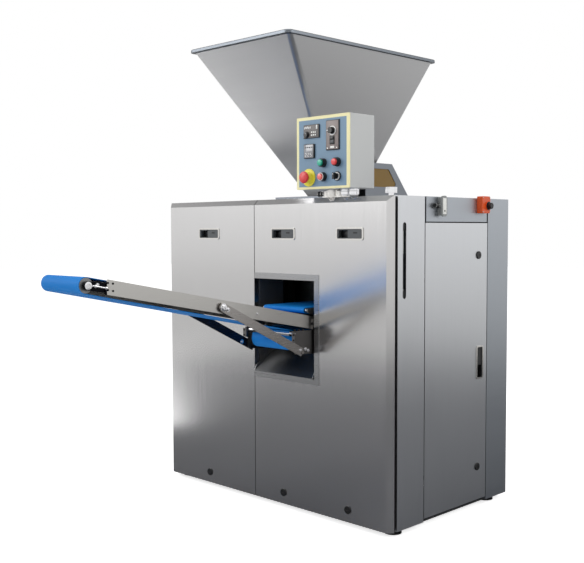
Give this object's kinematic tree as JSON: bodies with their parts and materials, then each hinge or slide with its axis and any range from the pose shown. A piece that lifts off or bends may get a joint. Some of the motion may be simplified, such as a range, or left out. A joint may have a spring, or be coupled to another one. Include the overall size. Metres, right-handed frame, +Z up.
{
  "type": "dough divider",
  "caption": "Stainless steel floor-standing dough divider with a tapered hopper, swivelling control box, front outlet and a rising belt conveyor.",
  "frame": {"origin": "middle of the bounding box on the floor", "axes": "+Z up, front of the machine towards -Y, operator's right when facing the front is +X"},
  "size_m": [1.197, 1.635, 1.664],
  "materials": {
    "steel": "satin",
    "dark_steel": "matte",
    "cast": "matte",
    "chrome": "polished",
    "black_plastic": "matte",
    "grey_plastic": "matte",
    "belt_blue": "matte",
    "orange": "gloss",
    "red": "gloss",
    "green": "gloss",
    "amber": "gloss",
    "clear": "gloss",
    "light_grey_paint": "satin",
    "panel_blue": "satin",
    "motor_grey": "satin"
  },
  "bodies": {
    "cabinet": {"frame": "dark_steel", "levelling_feet": "dark_steel", "top_cover": "steel", "left_cover": "steel", "rear_cover": "steel", "gauge_cover": "steel", "side_panels": "steel", "gauge_tube": "clear", "gauge_fittings": "black_plastic", "oil_tank": "motor_grey", "hopper": "steel", "hopper_seat": "steel", "neck_guard": "steel", "guard_window": "amber", "control_post": "steel", "orange_box": "orange", "interlock_switch": "grey_plastic", "conveyor_sides": "steel", "outfeed_belt": "belt_blue", "drive_brackets": "steel", "struts": "dark_steel", "inner_belt": "belt_blue", "inner_bed": "steel", "chute": "steel", "dough_box": "cast", "knife_cylinder": "chrome", "gearmotor": "motor_grey"},
    "left_panel": {"left_panel": "steel", "left_bezel": "steel", "left_lock": "black_plastic"},
    "right_panel": {"right_panel": "steel", "outlet_surround": "steel", "right_bezels": "steel", "right_locks": "black_plastic"},
    "side_door": {"side_door": "steel", "door_bezel": "steel", "door_locks": "black_plastic"},
    "control_box": {"control_box": "light_grey_paint", "control_face": "panel_blue", "control_modules": "black_plastic"},
    "latch_left": {"latch_left": "grey_plastic"},
    "latch_mid": {"latch_mid": "grey_plastic"},
    "latch_right": {"latch_right": "grey_plastic"},
    "latch_door": {"latch_door": "grey_plastic"},
    "estop_head": {"estop_head": "red"},
    "start_button": {"start_button": "green"},
    "stop_button": {"stop_button": "red"},
    "reset_button": {"reset_button": "red"},
    "selector_knob": {"selector_knob": "black_plastic"},
    "speed_knob": {"speed_knob": "black_plastic"},
    "orange_button": {"orange_button": "black_plastic"},
    "top_knob": {"top_knob": "chrome"},
    "nose_roller": {"nose_roller": "chrome"},
    "snub_roller": {"snub_roller": "chrome"},
    "drive_drum": {"drive_drum": "chrome"},
    "inner_drum": {"inner_drum": "chrome"},
    "ram": {"ram": "steel"},
    "knife": {"knife": "steel"},
    "head_drum": {"head_drum": "cast"},
    "measuring_piston": {"measuring_piston": "grey_plastic"}
  },
  "joints": [
    {"name": "left_panel_lift_off", "type": "slide", "parent": "cabinet", "child": "left_panel", "axis": [0, -1, 0], "range_m": [0, 0.25]},
    {"name": "right_panel_lift_off", "type": "slide", "parent": "cabinet", "child": "right_panel", "axis": [0, -1, 0], "range_m": [0, 0.25]},
    {"name": "side_door_hinge", "type": "hinge", "parent": "cabinet", "child": "side_door", "pos_m": [0.5515, 0.2925, 0.531], "axis": [0, 0, -1], "range_deg": [0, 110]},
    {"name": "latch_left_pull", "type": "hinge", "parent": "left_panel", "child": "latch_left", "pos_m": [-0.2945, 0.1075, 0.995], "axis": [0, 0, 1], "range_deg": [0, 35], "stiffness_Nm_per_rad": 0.3},
    {"name": "latch_mid_pull", "type": "hinge", "parent": "right_panel", "child": "latch_mid", "pos_m": [0.1125, 0.1075, 0.995], "axis": [0, 0, 1], "range_deg": [0, 35], "stiffness_Nm_per_rad": 0.3},
    {"name": "latch_right_pull", "type": "hinge", "parent": "right_panel", "child": "latch_right", "pos_m": [0.4285, 0.1075, 0.995], "axis": [0, 0, 1], "range_deg": [0, 35], "stiffness_Nm_per_rad": 0.3},
    {"name": "latch_door_pull", "type": "hinge", "parent": "side_door", "child": "latch_door", "pos_m": [0.5525, 0.6105, 0.577], "axis": [0, -1, 0], "range_deg": [0, 35], "stiffness_Nm_per_rad": 0.3},
    {"name": "control_box_swivel", "type": "hinge", "parent": "cabinet", "child": "control_box", "pos_m": [0.2795, 0.1285, 1.146], "axis": [0, 0, 1], "range_deg": [-20, 75]},
    {"name": "start_button_press", "type": "slide", "parent": "control_box", "child": "start_button", "axis": [0, 1, 0], "range_m": [0, 0.004], "stiffness_N_per_m": 800},
    {"name": "stop_button_press", "type": "slide", "parent": "control_box", "child": "stop_button", "axis": [0, 1, 0], "range_m": [0, 0.004], "stiffness_N_per_m": 800},
    {"name": "reset_button_press", "type": "slide", "parent": "control_box", "child": "reset_button", "axis": [0, 1, 0], "range_m": [0, 0.004], "stiffness_N_per_m": 800},
    {"name": "estop_press", "type": "slide", "parent": "control_box", "child": "estop_head", "axis": [0, 1, 0], "range_m": [0, 0.005]},
    {"name": "selector_turn", "type": "hinge", "parent": "control_box", "child": "selector_knob", "pos_m": [0.3615, 0.0655, 1.1855], "axis": [0, -1, 0], "range_deg": [-45, 45]},
    {"name": "speed_knob_turn", "type": "hinge", "parent": "control_box", "child": "speed_knob", "pos_m": [0.342, 0.0655, 1.336], "axis": [0, -1, 0], "range_deg": [-140, 140]},
    {"name": "orange_button_press", "type": "slide", "parent": "cabinet", "child": "orange_button", "axis": [-1, 0, 0], "range_m": [0, 0.005], "stiffness_N_per_m": 800},
    {"name": "top_knob_turn", "type": "hinge", "parent": "cabinet", "child": "top_knob", "pos_m": [0.5095, 0.1625, 1.128], "axis": [0, 0, 1], "continuous": true},
    {"name": "drive_drum_spin", "type": "hinge", "parent": "cabinet", "child": "drive_drum", "pos_m": [0.0915, 0.0505, 0.623], "axis": [1, 0, 0], "continuous": true},
    {"name": "nose_roller_spin", "type": "hinge", "parent": "cabinet", "child": "nose_roller", "pos_m": [0.0915, -0.793, 0.8545], "axis": [1, 0, 0], "continuous": true},
    {"name": "snub_roller_spin", "type": "hinge", "parent": "cabinet", "child": "snub_roller", "pos_m": [0.0915, 0.0165, 0.654], "axis": [1, 0, 0], "continuous": true},
    {"name": "inner_drum_spin", "type": "hinge", "parent": "cabinet", "child": "inner_drum", "pos_m": [0.0915, 0.4875, 0.709], "axis": [1, 0, 0], "continuous": true},
    {"name": "ram_stroke", "type": "slide", "parent": "cabinet", "child": "ram", "axis": [0, -1, 0], "range_m": [0, 0.14]},
    {"name": "knife_stroke", "type": "slide", "parent": "cabinet", "child": "knife", "axis": [1, 0, 0], "range_m": [0, 0.13]},
    {"name": "head_turn", "type": "hinge", "parent": "cabinet", "child": "head_drum", "pos_m": [0.0255, 0.2675, 1.009], "axis": [-1, 0, 0], "range_deg": [0, 90]},
    {"name": "measuring_piston_stroke", "type": "slide", "parent": "head_drum", "child": "measuring_piston", "axis": [0, 1, 0], "range_m": [0, 0.018]}
  ],
  "couplings": [
    {"joint": "nose_roller_spin", "follows": "drive_drum_spin", "ratio": 1.3191},
    {"joint": "snub_roller_spin", "follows": "drive_drum_spin", "ratio": -2.8182},
    {"joint": "inner_drum_spin", "follows": "drive_drum_spin", "ratio": 1.069}
  ]
}
